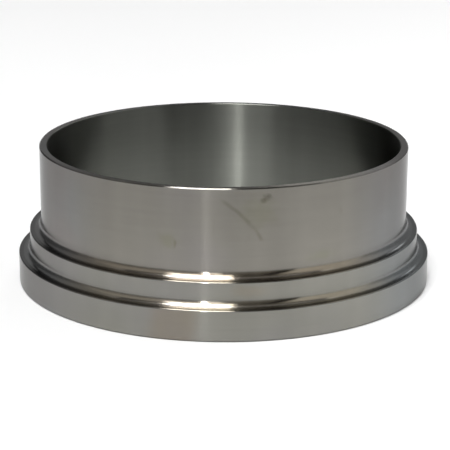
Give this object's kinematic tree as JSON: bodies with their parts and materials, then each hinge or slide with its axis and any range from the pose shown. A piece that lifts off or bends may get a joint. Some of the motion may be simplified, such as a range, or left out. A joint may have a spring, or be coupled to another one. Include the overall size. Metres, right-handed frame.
{
  "type": "bevel seat ferrule",
  "caption": "Short tube ferrule with a plain weld end, two stepped shoulders for a union nut to bear on, and a bevelled seat at the mouth of its bore.",
  "frame": {"origin": "centre of the seat face, the flat ring at the flange end that the part stands on", "axes": "+Z along the bore from the seat face towards the weld end; the part is round, so X and Y are free"},
  "size_m": [0.1142, 0.1142, 0.0381],
  "materials": {
    "polished_stainless": "fine turned and polished stainless steel"
  },
  "bodies": {
    "root": {"ferrule": "polished_stainless"}
  },
  "joints": []
}
